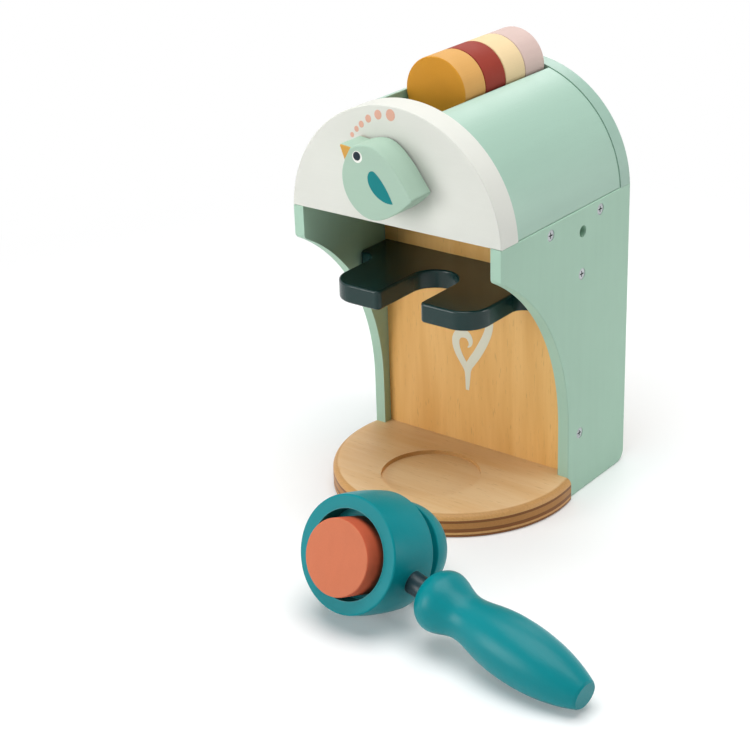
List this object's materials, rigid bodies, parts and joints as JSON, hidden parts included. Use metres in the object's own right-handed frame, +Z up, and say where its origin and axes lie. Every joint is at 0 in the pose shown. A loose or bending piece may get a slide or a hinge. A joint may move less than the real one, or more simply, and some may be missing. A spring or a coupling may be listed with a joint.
{
  "type": "toy coffee maker",
  "caption": "Wooden toy coffee machine with a bird-shaped knob, capsules in a roof slot, a fork over a round base, and a loose portafilter with a pod.",
  "frame": {"origin": "on the floor, at the centre of the round base's underside", "axes": "+X to the right of somebody facing the machine, +Y from its front to its back, +Z up"},
  "size_m": [0.3028, 0.2927, 0.2965],
  "materials": {
    "mint_paint": "matte water-based paint",
    "white_paint": "matte water-based paint",
    "birch_ply": "clear satin lacquer",
    "night_teal_paint": "satin paint",
    "teal_paint": "satin paint",
    "black_paint": "satin paint",
    "bird_paint": "matte water-based paint",
    "bare_beech": "bare wood",
    "ochre_paint": "matte water-based paint",
    "brick_paint": "matte water-based paint",
    "cream_paint": "matte water-based paint",
    "pink_paint": "matte water-based paint",
    "coral_paint": "matte water-based paint",
    "zinc_steel": "zinc-plated steel",
    "nylon": "natural nylon"
  },
  "bodies": {
    "machine": {"left_side_panel": "mint_paint", "right_side_panel": "mint_paint", "front_fascia": "white_paint", "rear_arch_board": "mint_paint", "roof_shell_left": "mint_paint", "roof_shell_right": "mint_paint", "slot_wall_left": "mint_paint", "slot_wall_right": "mint_paint", "slot_floor": "mint_paint", "roof_cleat_left": "mint_paint", "roof_cleat_right": "mint_paint", "back_panel": "birch_ply", "base_disc": "birch_ply", "portafilter_fork": "night_teal_paint", "cleat_screws": "zinc_steel", "back_panel_screws": "zinc_steel", "fork_screws": "zinc_steel", "base_screws": "zinc_steel", "arch_dowels": "bare_beech"},
    "knob": {"bird_knob": "bird_paint", "knob_spacer": "nylon", "knob_axle": "bare_beech", "knob_washer": "zinc_steel", "knob_screw": "zinc_steel"},
    "ochre_capsule": {"capsule_ochre": "ochre_paint"},
    "red_capsule": {"capsule_red": "brick_paint"},
    "cream_capsule": {"capsule_cream": "cream_paint"},
    "pink_capsule": {"capsule_pink": "pink_paint"},
    "portafilter": {"portafilter_head": "teal_paint", "portafilter_foot": "teal_paint", "portafilter_neck": "black_paint", "portafilter_handle": "teal_paint"},
    "pod": {"portafilter_pod": "coral_paint"}
  },
  "joints": [
    {"name": "knob_turn", "type": "hinge", "parent": "machine", "child": "knob", "pos_m": [0, -0.0623, 0.2347], "axis": [0, -1, 0], "continuous": true},
    {"name": "ochre_capsule_lift", "type": "slide", "parent": "machine", "child": "ochre_capsule", "axis": [0, 0, 1], "range_m": [0, 0.05]},
    {"name": "red_capsule_lift", "type": "slide", "parent": "machine", "child": "red_capsule", "axis": [0, 0, 1], "range_m": [0, 0.05]},
    {"name": "cream_capsule_lift", "type": "slide", "parent": "machine", "child": "cream_capsule", "axis": [0, 0, 1], "range_m": [0, 0.05]},
    {"name": "pink_capsule_lift", "type": "slide", "parent": "machine", "child": "pink_capsule", "axis": [0, 0, 1], "range_m": [0, 0.05]},
    {"name": "portafilter_lift", "type": "slide", "parent": "machine", "child": "portafilter", "axis": [0, 0, 1], "range_m": [0, 0.12]},
    {"name": "pod_slide", "type": "slide", "parent": "portafilter", "child": "pod", "axis": [-0.0457, -0.9343, 0.3535], "range_m": [0, 0.03]}
  ]
}
